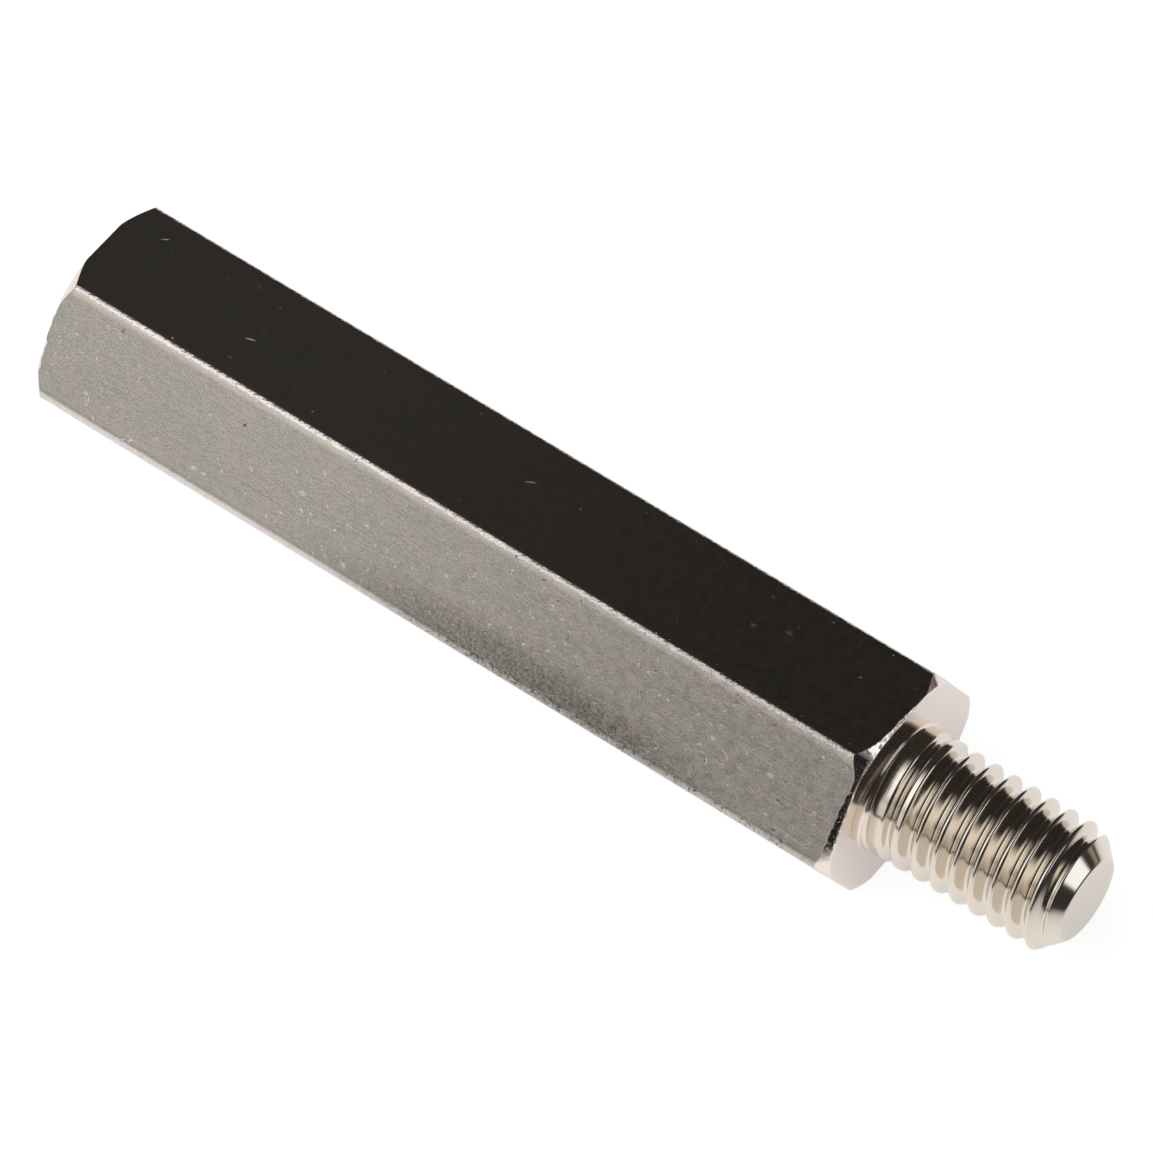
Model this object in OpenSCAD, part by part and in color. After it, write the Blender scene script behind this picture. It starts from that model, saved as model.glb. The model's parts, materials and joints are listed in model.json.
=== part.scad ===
// Male and female hexagonal standoff: a turned length of hexagonal bar that lies on one of its flats.
// One end carries a screw stud, and the other holds a blind tapped socket on the same axis.

/* [Hexagonal body] */
// Width of the bar across its flats
across_flats = 8; // [7:0.1:12]
// Length of the hexagon, from the mouth's face to the stud's shoulder
body_length = 35; // [20:1:80]
// Radius of the drawn bar's corners
corner_radius = 0.25; // [0.05:0.05:0.8]
// How far the mouth's chamfer runs back along each corner of the hexagon
mouth_chamfer = 0.52; // [0.1:0.02:0.7]
// How far the shoulder's chamfer runs back along each corner of the hexagon
shoulder_chamfer = 0.36; // [0.1:0.02:0.7]
// Angle of both turned chamfers, measured from the end faces
chamfer_angle = 45; // [25:1:55]

/* [Stud] */
// Outside diameter of the stud, over its thread's crests
stud_d = 4.95; // [4:0.05:6]
// Length of the stud, from the shoulder to its tip
stud_length = 8; // [4:0.5:16]
// Diameter of the flat on the stud's tip
tip_flat_d = 3.25; // [2:0.05:3.8]
// Angle of the tip's chamfer, measured from the stud's axis
tip_angle = 45; // [30:1:60]

/* [Tapped socket] */
// Diameter of the drilled hole, which is the inside diameter of its thread
socket_d = 4.2; // [3:0.05:5]
// Depth of the drilled hole at its full diameter, from the mouth's face
socket_depth = 13; // [6:0.5:18]
// Diameter of the countersink at the mouth's face
countersink_d = 5.5; // [5.2:0.1:6.4]
// Full angle of the countersink
countersink_angle = 90; // [60:5:120]
// Full angle of the cone that the drill's point leaves
drill_point_angle = 118; // [90:1:140]

/* [Hidden] */
$fn = 96;

// Colour of the bright nickel plating
nickel = [0.70, 0.68, 0.64];

// How far each cut runs past the face that it opens, and the stud runs into the body
overrun = 1;

// The bar: six flats, and six corners rounded about the points of a smaller hexagon
corner_count = 6;
corner_step = 360 / corner_count;
inner_side = (across_flats - 2 * corner_radius) / (2 * sin(corner_step));
corner_reach = inner_side + corner_radius;
flat_down_turn = corner_step / 2;

// Radius of the flat ring that each chamfer leaves on its end face
mouth_face_r = corner_reach - mouth_chamfer / tan(chamfer_angle);
shoulder_face_r = corner_reach - shoulder_chamfer / tan(chamfer_angle);

// The turning tool clears the bar's corners by the overrun, on the slope of each chamfer
turned_r = corner_reach + overrun;
mouth_run = (turned_r - mouth_face_r) * tan(chamfer_angle);
shoulder_run = (turned_r - shoulder_face_r) * tan(chamfer_angle);

// Lengths of the cones, along the axis
tip_chamfer = (stud_d - tip_flat_d) / 2 / tan(tip_angle);
countersink_depth = (countersink_d - socket_d) / 2 / tan(countersink_angle / 2);
drill_point = socket_d / 2 / tan(drill_point_angle / 2);

total_length = body_length + stud_length;

// Section of the drawn bar, with a corner on the x axis
module bar_section() {
    for (turn = [0 : corner_step : 180 - corner_step])
        rotate(turn)
            square([inner_side, across_flats], center = true);
    for (turn = [0 : corner_step : 360 - corner_step])
        rotate(turn)
            translate([inner_side, 0])
                circle(r = corner_radius);
}

// What the turning tool leaves of the bar: a cylinder that clears its corners, with a cone at each end
module turned_ends() {
    rotate_extrude()
        polygon([
            [0, 0],
            [mouth_face_r, 0],
            [turned_r, mouth_run],
            [turned_r, body_length - shoulder_run],
            [shoulder_face_r, body_length],
            [0, body_length]
        ]);
}

// The hexagon: where the cones cross a flat they leave an arc at each of its corners
module hexagonal_body() {
    intersection() {
        linear_extrude(body_length)
            bar_section();
        turned_ends();
    }
}

// The stud over its crests, rooted in the body, with the chamfer that starts a nut
module stud() {
    rotate_extrude()
        polygon([
            [0, body_length - overrun],
            [stud_d / 2, body_length - overrun],
            [stud_d / 2, total_length - tip_chamfer],
            [tip_flat_d / 2, total_length],
            [0, total_length]
        ]);
}

// The drilled hole: countersunk mouth, straight wall and the drill point's cone
module socket() {
    rotate_extrude()
        polygon([
            [0, -overrun],
            [countersink_d / 2 + overrun * tan(countersink_angle / 2), -overrun],
            [socket_d / 2, countersink_depth],
            [socket_d / 2, socket_depth],
            [0, socket_depth + drill_point]
        ]);
}

// The whole part, lying on one flat with the stud towards +x and the floor at z = 0
module standoff() {
    color(nickel)
        translate([-total_length / 2, 0, across_flats / 2])
            rotate([0, 90, 0])
                rotate(flat_down_turn)
                    difference() {
                        union() {
                            hexagonal_body();
                            stud();
                        }
                        socket();
                    }
}

standoff();
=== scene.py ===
import json

import bpy
import numpy as np
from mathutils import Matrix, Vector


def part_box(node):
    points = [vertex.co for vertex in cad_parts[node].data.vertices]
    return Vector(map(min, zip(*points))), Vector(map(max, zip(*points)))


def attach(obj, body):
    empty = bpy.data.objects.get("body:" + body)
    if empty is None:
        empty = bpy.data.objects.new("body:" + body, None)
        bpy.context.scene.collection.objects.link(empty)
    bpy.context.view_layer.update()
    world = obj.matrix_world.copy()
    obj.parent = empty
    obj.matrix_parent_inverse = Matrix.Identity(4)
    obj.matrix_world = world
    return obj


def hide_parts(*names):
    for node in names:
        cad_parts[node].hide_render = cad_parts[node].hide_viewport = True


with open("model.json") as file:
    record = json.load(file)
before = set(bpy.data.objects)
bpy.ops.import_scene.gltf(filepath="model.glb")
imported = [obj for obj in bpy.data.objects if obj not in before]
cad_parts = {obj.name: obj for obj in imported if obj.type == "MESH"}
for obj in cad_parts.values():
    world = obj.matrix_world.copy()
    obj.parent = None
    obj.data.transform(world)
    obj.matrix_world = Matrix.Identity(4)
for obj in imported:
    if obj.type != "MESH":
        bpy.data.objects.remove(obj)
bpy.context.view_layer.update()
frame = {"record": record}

# The standoff: one length of drawn hexagonal brass bar. A bar lathe turned one end down to a stud and cut
# its thread with a die, drilled, countersunk and tapped the other end, and chamfered the hexagon's ends.
# The loose parts were then nickel plated in a barrel, where they knocked small dings into each other.
mm = 0.001
mounts = {mount["name"]: mount for mount in frame["record"]["mounts"]}
lowest, highest = (np.array(corner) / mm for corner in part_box("standoff"))
across_flats = highest[2] - lowest[2]
corner_reach = highest[1]
axis_height = lowest[2] + across_flats / 2
mouth_x, tip_x = lowest[0], highest[0]
shoulder_x = mounts["shoulder"]["pos_m"][0] / mm

# The bar's section: the drawing die left each corner round, with a softer bend before the flat starts.
# Lengths here and below are in millimetres.
corner_r, soft_r, soft_turn = 0.3, 2.5, 4.0
corner_steps, soft_steps, flat_steps = 6, 6, 24


def eased(distance, width):
    """A ramp: nothing before zero, the distance itself after it, and a parabola of that width between."""
    inside = np.clip(distance + width / 2, 0, width)
    return np.where(distance > width / 2, distance, inside ** 2 / (2 * width))


def bar_outline():
    """Angle, radius, length of skin and share of corner for each column of the bar, once round the axis.
    From the middle of a flat the skin runs straight, turns on a wide arc, then on the corner's own arc. The
    straight part is as long as brings the corner's arc onto the line between two flats. The other half of
    a side is its mirror image."""
    wide = np.radians(np.linspace(0, soft_turn, soft_steps + 1))[1:]
    tight = np.radians(np.linspace(soft_turn, 30, corner_steps + 1))[1:]
    flat_out = across_flats / 2
    centre_out = flat_out - soft_r + (soft_r - corner_r) * np.cos(wide[-1])
    centre_along = centre_out * np.tan(np.pi / 6)
    straight = centre_along - (soft_r - corner_r) * np.sin(wide[-1])
    level = np.linspace(0, straight, flat_steps + 1)
    out = np.concatenate([np.full(level.size, flat_out), flat_out - soft_r + soft_r * np.cos(wide),
                          centre_out + corner_r * np.cos(tight)])
    along = np.concatenate([level, straight + soft_r * np.sin(wide),
                            centre_along + corner_r * np.sin(tight)])
    turn = np.concatenate([np.zeros(level.size), wide, tight])
    half, reach = np.arctan2(along, out), np.hypot(out, along)
    side = np.concatenate([-half[:0:-1], half[:-1]])
    normals = np.radians(30 + 60 * np.arange(6))[:, None]
    angle = np.append((normals + side).ravel(), 2 * np.pi)
    radius = np.append(np.tile(np.concatenate([reach[:0:-1], reach[:-1]]), 6), reach[-1])
    corner = np.append(np.tile(np.concatenate([turn[:0:-1], turn[:-1]]), 6), turn[-1]) / np.radians(30)
    step = np.hypot(np.diff(radius * np.cos(angle)), np.diff(radius * np.sin(angle)))
    return angle, radius, np.append(0, np.cumsum(step)), corner


# The hexagon's ends: both chamfers were turned at 45 degrees, each a little off centre. The tool tore the
# flats' edges at the shoulder, most of all on one of them, and left that edge ragged; its hollows get black
# painted shade.
mouth_chamfer, mouth_off, mouth_off_angle = 0.55, 0.11, np.radians(128)
shoulder_chamfer, shoulder_off, shoulder_off_angle = 0.34, -0.08, np.radians(150)
edge_ease, support = 0.06, 0.02
tear_angles = np.radians([0, 60, 72, 88, 106, 116, 128, 137, 150, 166, 179, 200, 360])
tear_depths = [0.03, 0.0, 0.03, 0.08, 0.15, 0.12, 0.02, 0.20, 0.30, 0.22, 0.04, 0.02, 0.03]
tear_slopes = [0.5, 1.1, 1.1, 1.1, 1.1, 1.1, 0.5, 0.5, 0.5, 0.5, 0.5, 0.5, 0.5]
nick_depths = [0.02, 0.0, 0.01, 0.01, 0.01, 0.0, 0.0, 0.10, 0.12, 0.10, 0.0, 0.02, 0.02]
# Round the bar: where the gouges go deepest and the tear's hollows get black painted shade.
gouge_and_shade_angles, gouge_and_shade_shares = np.radians([0, 114, 118, 168, 178, 360]), [0, 0, 1, 1, 0, 0]
gouge_spread = 0.25
slope_shares = np.linspace(0, 1, 8)[1:-1]
bend_rows, skin_rows = 6, 5


def chamfer_cone(angle, radius, chamfer, off_centre, off_angle):
    """How far the bar's skin stands out past the rim that the chamfer leaves on an end face. The rim's
    radius is the corners' less the chamfer, and its middle lies off the axis at that angle."""
    rim = corner_reach - chamfer
    return np.maximum(radius - off_centre * np.cos(angle - off_angle) - rim, 0)


def bar_end(radius, cone, tear, tear_slope, gouge=0.0):
    """Depth from the end plane and radius of the rows round one end of the bar, from the end face out. The
    path runs out along the face, bends where the slope starts, climbs it, and bends again where it meets
    the skin. The slope is as wide as the chamfer's cone and as deep, plus the tear, whose width is its
    depth times its slope. Where there is neither, both bends fall on one edge. Gouges go in square to the
    slope, and fade out where it is no wider than its bends."""
    width, depth = cone + tear_slope * tear, cone + tear
    lean, slope = np.arctan2(depth, np.maximum(width, 1e-6)), np.hypot(width, depth)
    first = radius - width
    second = first + slope
    near = np.minimum(edge_ease, slope) / 2
    rows = [first + step for step in (-edge_ease - support, -edge_ease / 2, -edge_ease / 4, 0 * slope)]
    rows += [first + near * share for share in (0.5, 1)]
    rows += [first + near + (slope - 2 * near) * share for share in slope_shares]
    rows += [second - near * share for share in (1, 0.5)]
    rows += [second + step for step in (0 * slope, edge_ease / 4, edge_ease / 2, edge_ease + support)]
    path = np.stack(rows)
    out, along = eased(path - first, edge_ease), eased(path - second, edge_ease)
    sunk = gouge * np.clip(slope / edge_ease - 1, 0, 1)
    depth = np.sin(lean) * out + (1 - np.sin(lean)) * along + np.cos(lean) * sunk
    return depth, path - (1 - np.cos(lean)) * out - np.cos(lean) * along - np.sin(lean) * sunk


# The stud's thread is right handed, 5 mm by 0.8 mm. The die's lead leaves its last turns shallow at the
# shoulder, and the tip was chamfered before the thread was cut.
pitch = 0.8
stud_r = mounts["stud"]["dims"]["r_mm"]
tip_r = 1.625
crest_flat, root_flat = pitch / 8, pitch / 6
crest_ease, root_ease = 0.09, 0.14
flank_slope = 1 / np.tan(np.radians(30))
first_crest = 0.261
run_out = 2.2 * pitch
root_fillet = 0.12
round_steps = 144
round_angles = np.linspace(0, 2 * np.pi, round_steps + 1)
crest_to_root = np.array([0, 0.035, 0.0625, 0.09, 0.15, 0.21, 0.27, 0.33, 0.38, 0.42, 0.46, 0.5])


def thread_depth(turns):
    """Depth of the groove under the crest: none on the crest, a straight flank, a level root, both bends
    eased. Turns counts pitches from the middle of a crest."""
    across = pitch * np.abs((turns + 0.5) % 1 - 0.5)
    down = eased(across - crest_flat / 2, crest_ease)
    level = eased(across - (pitch - root_flat) / 2, root_ease)
    return flank_slope * (down - level)


def helix_rows(half_profile, first, last):
    """Pitches from the first crest to each row of a thread's skin: the same steps from crest to root and
    back in every turn, from one turn before the start so that the slanting rows fill the corner."""
    turn = np.concatenate([half_profile, 1 - half_profile[-2:0:-1]])
    return (np.arange(np.floor(first) - 1, np.ceil(last))[:, None] + turn).ravel()


def stud_skin(angle):
    """Place along the axis and radius of the stud: rows that follow the helix, held between shoulder and
    tip. The radius is the crest's less the groove, which fades at the shoulder, and no more than the tip's
    cone."""
    start, end = shoulder_x + root_fillet, tip_x - edge_ease
    rows = helix_rows(crest_to_root, (start - shoulder_x - first_crest) / pitch,
                      (end - shoulder_x - first_crest) / pitch)
    turns = rows[:, None] + angle / (2 * np.pi)
    x = np.clip(shoulder_x + first_crest + pitch * turns, start, end)
    turns = (x - shoulder_x - first_crest) / pitch - angle / (2 * np.pi)
    lift = np.clip(1 - (x - shoulder_x) / run_out, 0, 1) * thread_depth(0.5)
    thread = stud_r - eased(thread_depth(turns) - lift, crest_ease)
    cone = tip_r + tip_x - x
    return x, thread - eased(thread - cone, edge_ease)


# The mouth: the socket was drilled, countersunk and tapped. The tap stops short of the drill's cone, and
# its last turns fade out there.
socket_r = mounts["socket"]["dims"]["r_mm"]
socket_wall = mounts["socket"]["dims"]["length_mm"]
countersink_r = 2.75
drill_slope = np.tan(np.radians(59))
drill_point = socket_r / drill_slope
tapped_depth = 10.5
tap_depth = 0.42
tap_to_drill = np.array([0, 0.05, 0.1, 0.2, 0.3, 0.36, 0.43, 0.5])
wall_end = mouth_x + countersink_r - socket_r + socket_wall


def socket_skin(angle):
    """Place along the axis and radius of the socket: rows that follow the helix, from the drill's cone out
    to the mouth. The radius is the drill's plus the tap's groove, which fades at its inner end, and no less
    than the countersink's cone."""
    start, end = mouth_x + edge_ease, mouth_x + tapped_depth
    rows = helix_rows(tap_to_drill, (start - mouth_x) / pitch, (end - mouth_x) / pitch)[::-1]
    x = np.clip(mouth_x + pitch * (rows[:, None] + angle / (2 * np.pi)), start, end)
    turns = (x - mouth_x) / pitch - angle / (2 * np.pi)
    across = pitch * np.abs((turns + 0.5) % 1 - 0.5)
    groove = np.maximum(tap_depth - flank_slope * eased(across - crest_flat / 2, crest_ease), 0)
    fade = np.clip((end - x) / run_out, 0, 1)
    wall = socket_r + groove * fade
    cone = countersink_r - (x - mouth_x)
    return x, wall + eased(cone - wall, edge_ease)


class Skin:
    """The piece's surface as it grows: grids of points, and index grids that close the gaps between them."""

    weld_steps_per_mm = 1e5

    def __init__(self):
        self.points, self.sheets, self.faces = [], [], []
        self.marks = {"drawn": [], "corner": [], "torn": []}
        self.count = 0

    def add(self, x, radius, angle, along=None, **marks):
        """Adds rows of points from their place along the axis, radius and angle, with the place of each on
        the unrolled skin and its share of each mark. The column that ends a full turn falls on the first.
        Returns the points' numbers."""
        along = radius * angle if along is None else along
        x, radius, angle, along = np.broadcast_arrays(x, radius, angle, along)
        turned = np.where(angle > 2 * np.pi - 1e-9, 0, angle)
        place = np.stack([x, radius * np.cos(turned), axis_height + radius * np.sin(turned)], -1)
        self.points.append(place.reshape(-1, 3))
        for label, values in self.marks.items():
            values.append(np.broadcast_to(marks.get(label, 0.0), x.shape).ravel())
        numbers = self.count + np.arange(x.size).reshape(x.shape)
        self.count += x.size
        self.join(numbers, np.stack([x, along], -1))
        return numbers

    def join(self, numbers, sheet=None):
        """Adds the faces between neighbouring rows of a grid of point numbers, two triangles to a square. A
        strip with no place on the unrolled skin of its own lies flat, and takes its points' y and z."""
        if sheet is None:
            sheet = np.concatenate(self.points)[numbers][..., 1:]
        for corners in ((np.s_[:-1, :-1], np.s_[:-1, 1:], np.s_[1:, 1:]),
                        (np.s_[:-1, :-1], np.s_[1:, 1:], np.s_[1:, :-1])):
            self.faces.append(np.stack([numbers[corner] for corner in corners], -1).reshape(-1, 3))
            self.sheets.append(np.stack([sheet[corner] for corner in corners], -2).reshape(-1, 3, 2))

    def mesh(self, name):
        """Welds points that fall on each other, drops faces with no area, and makes the mesh in metres."""
        points = np.concatenate(self.points)
        snapped = np.round(points * self.weld_steps_per_mm).astype(np.int64)
        _, kept, number = np.unique(snapped, axis=0, return_index=True, return_inverse=True)
        faces = number.reshape(-1)[np.concatenate(self.faces)]
        whole = (np.diff(np.sort(faces, 1), axis=1) > 0).all(1)
        made = bpy.data.meshes.new(name)
        made.from_pydata((points[kept] * mm).tolist(), [], faces[whole].tolist())
        for label, values in self.marks.items():
            layer = made.attributes.new(label, "FLOAT", "POINT")
            layer.data.foreach_set("value", np.concatenate(values)[kept].astype(np.float32))
        sheet = np.concatenate(self.sheets)[whole].astype(np.float32)
        made.uv_layers.new(name="unrolled").data.foreach_set("uv", sheet.ravel())
        made.polygons.foreach_set("use_smooth", np.ones(len(made.polygons), bool))
        made.update()
        return made


# The skin starts at the bottom of the socket: the drill's cone and wall, the tapped wall, and the
# countersink's rim.
skin = Skin()
bend_turn = np.linspace(0, 1, 5)[:, None]
socket_x, socket_radius = socket_skin(round_angles)
wall_x = np.array([wall_end + drill_point, wall_end + support, wall_end, wall_end - support,
                   mouth_x + tapped_depth])
wall_radius = np.array([0, socket_r - support * drill_slope, socket_r, socket_r, socket_r])
drilled = skin.add(wall_x[:, None], wall_radius[:, None], round_angles)
tapped = skin.add(socket_x, socket_radius, round_angles)
lip = skin.add(mouth_x + edge_ease * (1 - bend_turn) ** 2,
               countersink_r - edge_ease + 2 * edge_ease * bend_turn, round_angles)

# The hexagon follows, from the mouth's face to the shoulder's, with its nicked and torn ends.
rng = np.random.default_rng(seed=11)
angles, bar_radius, bar_along, bar_corner = bar_outline()


def ragged(columns):
    """Random heights from 0 to 1 round the bar, one every few columns with straight lines between."""
    knots = np.arange(0, angles.size + columns, columns)
    heights = np.interp(np.arange(angles.size), knots, rng.uniform(0, 1, knots.size))
    heights[-1] = heights[0]
    return heights


patchy, jagged, nicked = ragged(7), ragged(2), ragged(3)
torn = np.interp(angles, tear_angles, tear_depths) * (0.5 + 0.6 * patchy + 0.4 * jagged)
nicks = np.interp(angles, tear_angles, nick_depths) * np.clip(3 * nicked - 1.4, 0, 1)
tear_slope = np.interp(angles, tear_angles, tear_slopes)
gouge_and_shade_share = np.interp(angles, gouge_and_shade_angles, gouge_and_shade_shares)
torn_rows = np.zeros((2 * bend_rows + slope_shares.size, 1))
torn_rows[bend_rows:bend_rows + slope_shares.size + 2] = 1
gouge = np.abs(rng.normal(0, gouge_spread, (torn_rows.size, angles.size)))
gouge = gouge * torn_rows * torn * (0.2 + 0.8 * gouge_and_shade_share)
gouge[:, -1] = gouge[:, 0]
mouth_cone = chamfer_cone(angles, bar_radius, mouth_chamfer, mouth_off, mouth_off_angle)
shoulder_cone = chamfer_cone(angles, bar_radius, shoulder_chamfer, shoulder_off, shoulder_off_angle)
mouth_depth, mouth_radius = bar_end(bar_radius, mouth_cone, nicks, tear_slope)
far_depth, far_radius = bar_end(bar_radius, shoulder_cone, torn, tear_slope, gouge)
length_shares = np.linspace(0, 1, 8)[1:-1, None]
near_x, far_x = mouth_x + mouth_depth, shoulder_x - far_depth[::-1]
middle_x = near_x[-1] + (far_x[0] - near_x[-1]) * length_shares
bar_x = np.concatenate([near_x, middle_x, far_x])
bar_rows = np.concatenate([mouth_radius, np.tile(bar_radius, (len(length_shares), 1)), far_radius[::-1]])
on_bar = np.concatenate([np.zeros(len(near_x) - skin_rows), np.ones(2 * skin_rows + len(length_shares)),
                         np.zeros(len(far_x) - skin_rows)])
# The torn mark: where the finish roughens the tear and paints black shade into its hollows.
on_tear = np.concatenate([np.zeros((len(near_x) + len(length_shares), 1)), torn_rows[::-1]]) * gouge_and_shade_share
bar = skin.add(bar_x, bar_rows, angles, bar_along, drawn=on_bar[:, None], corner=bar_corner, torn=on_tear)

# Last comes the stud: a fillet at its root, the thread, and the tip's rounded rim and flat face. The bar
# has more columns than the round parts, so each takes the nearest of theirs where they join.
fillet_turn = np.linspace(0, 1, 6)[:, None]
stud_x, stud_radius = stud_skin(round_angles)
fillet = skin.add(shoulder_x + root_fillet * fillet_turn ** 2,
                  stud_radius[0] + root_fillet * (1 - fillet_turn) ** 2, round_angles)
stud = skin.add(stud_x, stud_radius, round_angles, stud_r * round_angles)
tip = skin.add(tip_x - edge_ease * (1 - bend_turn) ** 2,
               tip_r + edge_ease - 2 * edge_ease * bend_turn, round_angles)
tip_face = skin.add(np.full((2, 1), tip_x), np.array([[tip_r - edge_ease - support], [0]]), round_angles)
coarse = np.arange(angles.size) * round_steps // (angles.size - 1)
for joined in ((drilled[-1], tapped[0]), (tapped[-1], lip[0]), (lip[-1][coarse], bar[0]),
               (bar[-1], fillet[0][coarse]), (fillet[-1], stud[0]), (stud[-1], tip[0]),
               (tip[-1], tip_face[0])):
    skin.join(np.stack(joined))
standoff = bpy.data.objects.new("standoff_plated", skin.mesh("standoff_plated"))
bpy.context.scene.collection.objects.link(standoff)


class Tone:
    """One value of a finish: an output socket. Sums and products with it add Math nodes to its tree."""

    def __init__(self, tree, socket=None):
        self.tree, self.socket = tree, socket

    def node(self, kind, settings=None, inputs=None, output=0):
        """Adds any node: its settings are set first, then its sockets' values or links."""
        made = self.tree.nodes.new(kind)
        for name, value in (settings or {}).items():
            setattr(made, name, value)
        for name, value in (inputs or {}).items():
            if isinstance(value, Tone):
                self.tree.links.new(value.socket, made.inputs[name])
            else:
                made.inputs[name].default_value = value
        return Tone(self.tree, made.outputs[output] if len(made.outputs) else None)

    def output(self, name):
        """Another output of this value's node."""
        return Tone(self.tree, self.socket.node.outputs[name])

    def math(self, operation, *terms):
        """A Math node on these terms, values or numbers."""
        return self.node("ShaderNodeMath", {"operation": operation}, dict(enumerate(terms)))

    def __add__(self, other):
        return self.math("ADD", self, other)

    def __sub__(self, other):
        return self.math("SUBTRACT", self, other)

    def __rsub__(self, other):
        return self.math("SUBTRACT", other, self)

    def __mul__(self, other):
        return self.math("MULTIPLY", self, other)

    __radd__, __rmul__ = __add__, __mul__

    def between(self, low, high):
        """Zero at low, one at high, and an S curve between them; low may be the larger of the two."""
        return self.node("ShaderNodeMapRange", {"interpolation_type": "SMOOTHSTEP"},
                         {"Value": self, "From Min": low, "From Max": high})

    def noise(self, scale, detail=2.0, roughness=0.5):
        """Cloudy noise from 0 to 1 on these coordinates."""
        return self.node("ShaderNodeTexNoise", None,
                         {"Vector": self, "Scale": scale, "Detail": detail, "Roughness": roughness})

    def stretched(self, x, y, z):
        """These coordinates times a factor for each axis."""
        return self.node("ShaderNodeVectorMath", {"operation": "MULTIPLY"}, {0: self, 1: (x, y, z)})

    def less(self, other):
        """These coordinates less others."""
        return self.node("ShaderNodeVectorMath", {"operation": "SUBTRACT"}, {0: self, 1: other})

    def length(self):
        """Length of these coordinates."""
        return self.node("ShaderNodeVectorMath", {"operation": "LENGTH"}, {0: self}, output=1)

    def mixed(self, first, second):
        """The first colour where this is 0, and the second where it is 1."""
        return self.node("ShaderNodeMix", {"data_type": "RGBA"}, {0: self, 6: first, 7: second}, output=2)


def off_middle(offset, half_length, half_width, turn):
    """How far places lie from the middle of an oval, 0 there and 1 on its rim, from their offsets on the
    unrolled skin: the offset is turned, and measured in the oval's own half length and half width."""
    turned = offset.node("ShaderNodeVectorRotate", {"rotation_type": "Z_AXIS"},
                         {"Vector": offset, "Angle": turn})
    return turned.stretched(1 / half_length, 1 / half_width, 0).length()


def oval(skin_place, x, place_round, half_length, half_width, turn):
    """An oval patch on the unrolled skin, 1 in its middle and 0 on its rim."""
    return off_middle(skin_place.less((x, place_round, 0)), half_length, half_width, turn).between(1, 0.2)


def dents(skin_place, spacing, half_length, half_width, share, swing):
    """Scattered oval dents on the unrolled skin, 1 in their middles: at most one to a cell of that spacing,
    in that share of the cells, each turned at random by up to that swing either way, and from half that
    size to twice that size."""
    cell = skin_place.node("ShaderNodeTexVoronoi", {"voronoi_dimensions": "2D"},
                           {"Vector": skin_place, "Scale": 1 / spacing})
    lots = cell.node("ShaderNodeSeparateColor", None, {0: cell.output("Color")})
    reach = off_middle(skin_place.less(cell.output("Position")), half_length, half_width,
                       (lots.output("Green") - 0.5) * 2 * swing)
    dent = (reach * (2 - 1.5 * lots.output("Blue"))).between(1, 0.2)
    return dent * (lots - (1 - share)).between(0, 0.02)


# The marks that stand out on the part in the photograph, on the top flat and on the one in front of it:
# place along the axis and round the skin, half length, half width and turn.
top_middle, front_middle, lower_edge = (sides * bar_along[-1] / 6 for sides in (1.5, 2.5, 3))
single_knocks = [
    (-19.8, top_middle - 1.3, 0.25, 0.05, 0.6), (-14.64, top_middle + 0.44, 0.30, 0.05, 0.3),
    (-2.93, top_middle - 0.45, 0.34, 0.08, 0.5), (-0.83, top_middle - 0.56, 0.11, 0.06, 1.2),
    (11.23, top_middle - 0.56, 0.11, 0.06, 0.5), (-2.68, front_middle - 0.71, 0.14, 0.06, 1.0),
    (0.53, front_middle - 1.2, 0.12, 0.06, 1.2), (8.53, front_middle + 0.27, 0.25, 0.05, -0.6),
    (10.36, front_middle + 0.02, 0.20, 0.07, 0.2)]
single_scuffs = [(6.94, top_middle - 0.17, 0.20, 0.14, 0), (8.17, top_middle - 0.67, 0.26, 0.16, 0)]
single_pit = (-12.98, front_middle - 1.08, 0.10, 0.07, 1.2)
any_turn, lengthwise = 3.14, 0.12

# The plating's colours: two on the drawn skin, one along its corners, two where the lathe and the die cut.
green_nickel, warm_nickel = (0.63, 0.635, 0.57, 1), (0.70, 0.63, 0.59, 1)
edge_nickel = (0.71, 0.65, 0.62, 1)
faced_nickel, thread_nickel = (0.77, 0.68, 0.62, 1), (0.69, 0.625, 0.545, 1)
# The dark of grime and of painted shade, and the black of the painted shade in a torn edge's hollows.
grime_and_shade, painted_shade_black = (0.13, 0.115, 0.10, 1), (0.012, 0.010, 0.009, 1)


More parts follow.
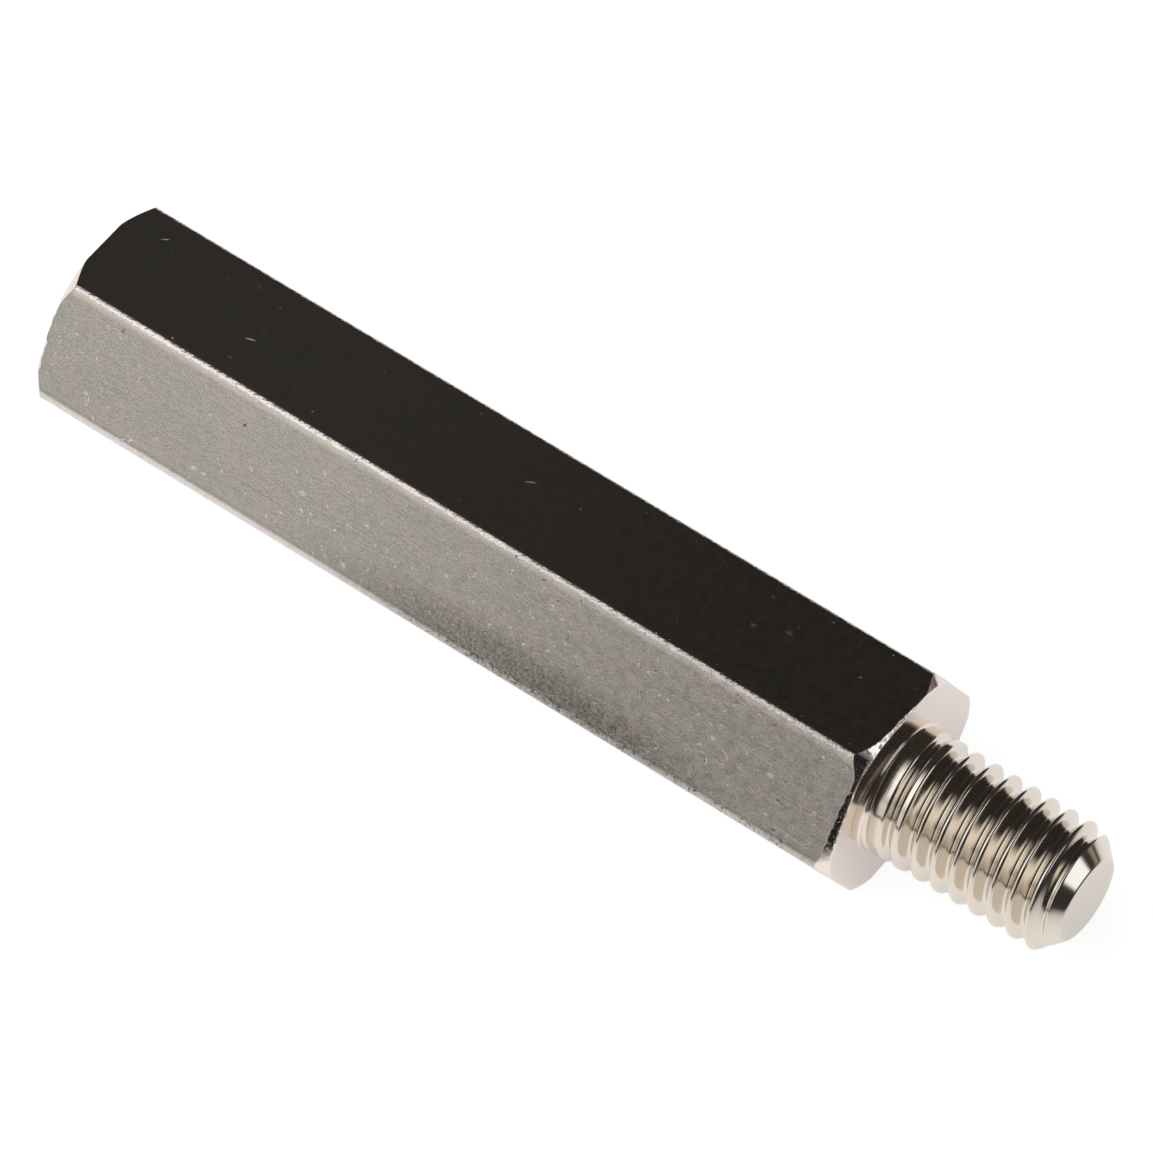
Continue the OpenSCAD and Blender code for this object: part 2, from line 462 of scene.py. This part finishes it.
def nickel_plate():
    """Bright nickel over the drawn bar's sandy haze, with dings, pits, scuffs and lengthwise scratches on
    the flats, fewest on the top one, bitten edges, darker towards the stud, and painted shade low on the
    front flat. Where the lathe cut, the skin is cleaner, with fine marks round the axis. A torn edge is
    rough, with black painted shade in its hollows. Heights are in millimetres."""
    material = bpy.data.materials.new("nickel_plate")
    material.use_nodes = True
    tree = material.node_tree
    tree.nodes.clear()
    place = Tone(tree).node("ShaderNodeTexCoord", output="Object")
    unrolled = place.output("UV")
    at = place.stretched(1 / mm, 1 / mm, 1 / mm)
    drawn, corner, torn = (place.node("ShaderNodeAttribute", {"attribute_name": label}, output="Fac")
                           for label in ("drawn", "corner", "torn"))
    along = place.node("ShaderNodeSeparateXYZ", None, {0: at})

    # Where the wear differs: towards the stud, on the top flat, along the corners and along the lower edge.
    towards_stud = along.between(-14, 12)
    calm = oval(unrolled, 0, top_middle, half_length=100, half_width=3.2, turn=0)
    # Painted shade on the lower part of the front flat.
    painted_lower_shade = oval(unrolled, 0, front_middle + 1.9, half_length=11, half_width=1.7, turn=0)
    rim = oval(unrolled, 0, lower_edge, half_length=100, half_width=0.4, turn=0)
    edge = drawn * corner.between(0.3, 0.7)

    # The skin's own unevenness, from the widest clouds to the finest specks, and the marks along it.
    cloud = unrolled.stretched(0.6, 1, 0).noise(0.8, detail=3)
    blotch = unrolled.noise(2.4, detail=4, roughness=0.65)
    haze = at.noise(1.8, detail=4, roughness=0.6)
    rough = at.noise(5, detail=2)
    grain = at.noise(9, detail=3, roughness=0.6)
    speck = at.noise(22, detail=1)
    streak = unrolled.stretched(0.1, 9, 0).noise(1, detail=4, roughness=0.6)
    drag = unrolled.stretched(11, 0.4, 0).noise(1, detail=3)

    # The dings of the barrel, scattered, then those that were placed one by one.
    small = dents(unrolled, 0.55, half_length=0.10, half_width=0.04, share=0.25 + 0.4 * towards_stud, swing=any_turn)
    large = dents(unrolled, 1.9, half_length=0.18, half_width=0.06, share=0.4, swing=any_turn)
    knocks = dents(unrolled, 1.2, half_length=0.09, half_width=0.045, share=0.3 + 0.2 * towards_stud, swing=any_turn)
    pits = dents(unrolled, 0.75, half_length=0.07, half_width=0.045, share=0.05 + 0.45 * towards_stud, swing=any_turn)
    hair = dents(unrolled, 2.6, half_length=2.4, half_width=0.014, share=0.7, swing=lengthwise)
    single, scuff, black_pit = (sum(oval(unrolled, *mark) for mark in marks)
                                for marks in (single_knocks, single_scuffs, [single_pit]))

    uneven = 0.0014 * grain + 0.0012 * haze + 0.0006 * streak + 0.0006 * speck - 0.0006 * hair
    dings = 0.006 * small + 0.006 * large + 0.015 * knocks + 0.008 * pits
    height = (drawn * (uneven - (1 - 0.8 * calm) * dings - 0.010 * single)
              + edge * (0.03 * (rough - 0.5) + 0.016 * (grain - 0.5))
              + torn * (0.06 * (grain - 0.5) + 0.02 * (speck - 0.5))
              + (1 - drawn) * 0.0012 * drag)
    normal = at.node("ShaderNodeBump", None, {"Strength": 1.0, "Distance": mm, "Height": height})

    bites = rim * (0.3 + 0.7 * towards_stud) * (0.6 * rough + 0.4 * grain).between(0.56, 0.60)
    # Dirt and painted shade: specks, blotches, streaks, pits, bites and the single pit are dirt and wear; the
    # drawn skin gets darker towards the stud; the oval low on the front flat is painted shade.
    dirt_and_shade = (0.26 * speck.between(0.35, 0.8) + 0.32 * towards_stud + painted_lower_shade * (0.15 + 0.4 * grain.between(0.3, 0.7))
            + (0.06 + 0.10 * towards_stud) * blotch.between(0.42, 0.66) + 0.07 * streak.between(0.52, 0.68)
            + 0.5 * (1 - calm) * pits + 0.5 * bites + black_pit)
    tint = cloud.between(0.36, 0.64).mixed(green_nickel, warm_nickel)
    tint = corner.between(0.02, 0.16).mixed(tint, edge_nickel)
    dull = dirt_and_shade.math("MINIMUM", dirt_and_shade, 1.0).mixed(tint, grime_and_shade)
    past_face = along.between(shoulder_x + 0.02, shoulder_x + root_fillet)
    bright = drawn.mixed(past_face.mixed(faced_nickel, thread_nickel), dull)
    # Black painted shade in the hollows of the torn edge.
    painted_hollow_shade = torn * grain.between(0.65, 0.60)
    colour = painted_hollow_shade.mixed(bright, painted_shade_black)
    scuffed = 0.35 * scuff * grain.between(0.3, 0.6)
    roughness = 0.13 + drawn * (0.05 * haze + 0.15 * knocks + 0.2 * single + scuffed) + 0.4 * painted_hollow_shade
    shader = at.node("ShaderNodeBsdfPrincipled", None,
                     {"Base Color": colour, "Roughness": roughness, "Metallic": 1 - painted_hollow_shade,
                      "Normal": normal})
    at.node("ShaderNodeOutputMaterial", None, {"Surface": shader})
    return material


standoff.data.materials.append(nickel_plate())
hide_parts("standoff")
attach(standoff, "root")

# The table: a sheet of white card that the part lies on. The camera and the metal see it white, with the
# part's soft shadow on it. Its size is in metres.
card_reach = 1.0
floor_mesh = bpy.data.meshes.new("card")
floor_mesh.from_pydata([(-card_reach, -card_reach, 0), (card_reach, -card_reach, 0),
                        (card_reach, card_reach, 0), (-card_reach, card_reach, 0)], [], [(0, 1, 2, 3)])
floor = bpy.data.objects.new("card", floor_mesh)
bpy.context.scene.collection.objects.link(floor)


def white_card():
    """White paper, lit from above, with enough white of its own to be white to the camera where no shadow
    falls. In the metal it shows a painted pool of light: white round the part, behind it and to the left, and
    fading into painted shade to the right, far to the left and to the front."""
    material = bpy.data.materials.new("white_card")
    material.use_nodes = True
    tree = material.node_tree
    tree.nodes.clear()
    camera = Tone(tree).node("ShaderNodeLightPath", output="Is Camera Ray")
    glossy = camera.output("Is Glossy Ray")
    place = camera.node("ShaderNodeTexCoord", output="Object").stretched(1 / mm, 1 / mm, 1 / mm)
    right = place.node("ShaderNodeSeparateXYZ", None, {0: place})
    rear = right.output("Y")
    sideways = right.math("MAXIMUM", right, -0.45 * right) - 0.25 * right.math("MAXIMUM", rear, 0.0)
    # The painted pool of light that the metal sees: 1 round the part, fading to 0 away from it.
    near = sideways.between(50, 21) * rear.between(-110, -30)
    mirrored = near.mixed((0.04, 0.04, 0.04, 1), (0.60, 0.60, 0.60, 1))
    paper = glossy.mixed((0.70, 0.70, 0.70, 1), mirrored)
    paper = camera.mixed(paper, (0.22, 0.22, 0.22, 1))
    own = (glossy * near).mixed((0, 0, 0, 1), (0.47, 0.47, 0.48, 1))
    own = camera.mixed(own, (0.88, 0.88, 0.88, 1))
    lit = camera.node("ShaderNodeBsdfDiffuse", None, {"Color": paper})
    white = camera.node("ShaderNodeEmission", None, {"Color": own})
    both = camera.node("ShaderNodeAddShader", None, {0: lit, 1: white})
    camera.node("ShaderNodeOutputMaterial", None, {"Surface": both})
    return material


floor.data.materials.append(white_card())

# The light: a wide soft panel over the part and in front of it, and a smaller one low at its right. The
# metal mirrors their soft faces in the room, with a pale wall low in front, a tan strip low at the back
# right, and the dark room itself, which the upper flat shows.


def soft_panel(name, direction, distance, width, height, strength):
    """A flat lamp at that distance from the part along a direction, facing it, in metres."""
    lamp = bpy.data.lights.new(name, "AREA")
    lamp.shape, lamp.size, lamp.size_y = "RECTANGLE", width, height
    lamp.energy = strength * np.pi * width * height
    panel = bpy.data.objects.new(name, lamp)
    unit = np.array(direction) / np.linalg.norm(direction)
    side = np.cross((0, 0, 1), unit)
    side /= np.linalg.norm(side)
    turn = np.eye(4)
    turn[:3, 0], turn[:3, 1], turn[:3, 2] = side, np.cross(unit, side), unit
    turn[:3, 3] = unit * distance
    panel.matrix_world = turn.T.tolist()
    panel.visible_camera = panel.visible_glossy = False
    bpy.context.scene.collection.objects.link(panel)


soft_panel("front_panel", (-0.20, -0.40, 0.86), distance=0.7, width=1.3, height=0.75, strength=2.0)
soft_panel("right_panel", (0.895, 0.29, 0.32), distance=0.7, width=0.5, height=0.22, strength=1.2)

world = bpy.data.worlds.new("room")
world.use_nodes = True
bpy.context.scene.world = world
world.node_tree.nodes.clear()
dark_room, pale_wall, tan_strip = (0.041, 0.037, 0.035, 1), (0.86, 0.84, 0.79, 1), (0.42, 0.35, 0.30, 1)
front_white, side_white = (1.52, 1.52, 1.50, 1), (1.40, 1.45, 1.55, 1)


def room():
    """White to the camera. To the part it is dark, with a pale wall low in front, a tan strip low at the
    back right, a panel low at the right, and a long panel that is brightest halfway up in front and whose
    left part leans towards the part. Over is the angle round the part's axis, bearing that round the
    upright."""
    tree = world.node_tree
    way = Tone(tree).node("ShaderNodeTexCoord", output="Generated")
    right = way.node("ShaderNodeSeparateXYZ", None, {0: way})
    rear, rise = right.output("Y"), right.output("Z")
    over, bearing = right.math("ARCTAN2", rise, rear), right.math("ARCTAN2", rear, right)

    def from_to(angle, low, high):
        """The same S curve, with its ends in degrees."""
        return angle.between(np.radians(low), np.radians(high))

    camera = way.node("ShaderNodeLightPath", output="Is Camera Ray")
    wall = from_to(bearing, -70, -100) * from_to(bearing, -145, -115) * rise.between(0.5, 0.3)
    lean = np.radians(24) * right.between(-0.52, -0.36)
    front = (from_to(over + lean, 93, 130) * from_to(over + 0.5 * lean, 182, 140)
             * right.between(0.15, -0.25) * right.between(-0.97, -0.8))
    side = (from_to(bearing, -8, -3) * from_to(bearing, 37, 30)
            * rise.between(0.15, 0.22) * rise.between(0.50, 0.42))
    strip = from_to(bearing, 38, 46) * from_to(bearing, 80, 70) * rise.between(0.14, 0.05)
    colour = wall.mixed(dark_room, pale_wall)
    colour = strip.mixed(colour, tan_strip)
    colour = front.mixed(colour, front_white)
    colour = side.mixed(colour, side_white)
    colour = camera.mixed(colour, (1, 1, 1, 1))
    background = way.node("ShaderNodeBackground", None, {"Color": colour})
    way.node("ShaderNodeOutputWorld", None, {"Surface": background})


room()

# The camera: a long lens, level with none of the part's faces, at the photograph's angle. It looks at a
# point left of the part's middle, and stands a little off that line, as the photograph is framed.
lens_length, sensor = 326.75, 36.0
azimuth, elevation, roll = np.radians([35.125, 53.894, 1.489])
aim = np.array([-3.9, 0, axis_height])
shift_right, shift_up, camera_distance = 2.742, -1.111, 371.43
back = np.array([np.sin(azimuth) * np.cos(elevation), -np.cos(azimuth) * np.cos(elevation),
                 np.sin(elevation)])
level_right = np.array([np.cos(azimuth), np.sin(azimuth), 0])
level_up = np.cross(back, level_right)
right = level_right * np.cos(roll) + level_up * np.sin(roll)
up = level_up * np.cos(roll) - level_right * np.sin(roll)
lens = bpy.data.cameras.new("camera")
lens.lens, lens.sensor_width = lens_length, sensor
camera = bpy.data.objects.new("camera", lens)
stand = np.eye(4)
stand[:3, 0], stand[:3, 1], stand[:3, 2] = right, up, back
stand[:3, 3] = (aim + shift_right * right + shift_up * up + camera_distance * back) * mm
camera.matrix_world = stand.T.tolist()
bpy.context.scene.collection.objects.link(camera)
bpy.context.scene.camera = camera
bpy.context.scene.view_settings.view_transform = "Standard"
